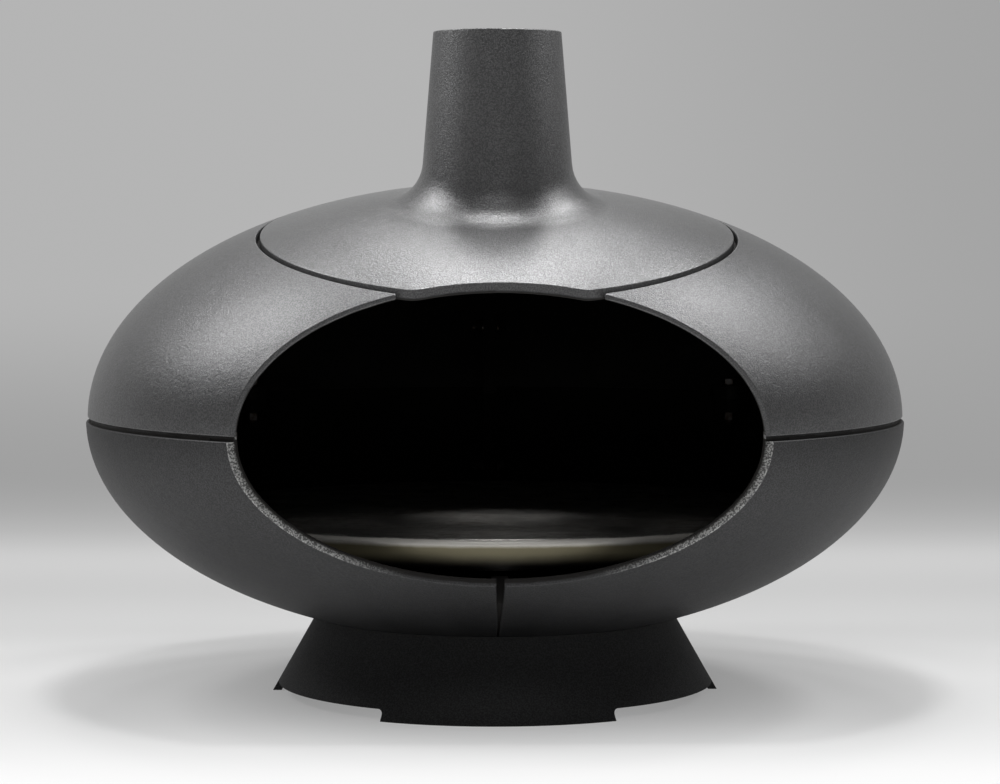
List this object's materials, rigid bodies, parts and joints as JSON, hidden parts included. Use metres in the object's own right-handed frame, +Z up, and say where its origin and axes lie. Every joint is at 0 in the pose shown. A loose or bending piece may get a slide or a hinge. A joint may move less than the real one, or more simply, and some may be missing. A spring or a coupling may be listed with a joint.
{
  "type": "outdoor wood-fired oven",
  "caption": "Egg-shaped cast-iron fire oven on a flared foot, with a wide open mouth, a round hearth plate inside and a hood with a flared chimney.",
  "frame": {"origin": "on the floor, under the middle of the overall width and depth", "axes": "+Z up, -Y towards the fire mouth (front), +X to the right as one faces the mouth"},
  "size_m": [0.7488, 0.6735, 0.5995],
  "materials": {
    "upper_castings": "sand-cast, satin grey",
    "hood_casting": "sand-cast, satin grey",
    "lower_castings": "sand-cast, dull dark grey",
    "foot_casting": "sand-cast, dull dark grey",
    "hearth_casting": "ground and used, grey with a dull sheen",
    "fasteners": "heat-darkened steel"
  },
  "bodies": {
    "body": {"upper_shell_left": "upper_castings", "upper_shell_right": "upper_castings", "lower_shell_left": "lower_castings", "lower_shell_right": "lower_castings", "foot_ring": "foot_casting", "hearth_plate": "hearth_casting", "equator_bolts": "fasteners", "equator_washers": "fasteners", "equator_nuts": "fasteners", "upper_parting_bolts": "fasteners", "upper_parting_washers": "fasteners", "upper_parting_nuts": "fasteners", "lower_parting_bolts": "fasteners", "lower_parting_washers": "fasteners", "lower_parting_nuts": "fasteners", "front_parting_bolts": "fasteners", "front_parting_washers": "fasteners", "front_parting_nuts": "fasteners", "foot_bolts": "fasteners", "foot_washers": "fasteners", "foot_nuts": "fasteners"},
    "hood": {"chimney_hood": "hood_casting"}
  },
  "joints": [
    {"name": "hood_lift", "type": "slide", "parent": "body", "child": "hood", "axis": [0, 0, 1], "range_m": [0, 0.25]}
  ]
}
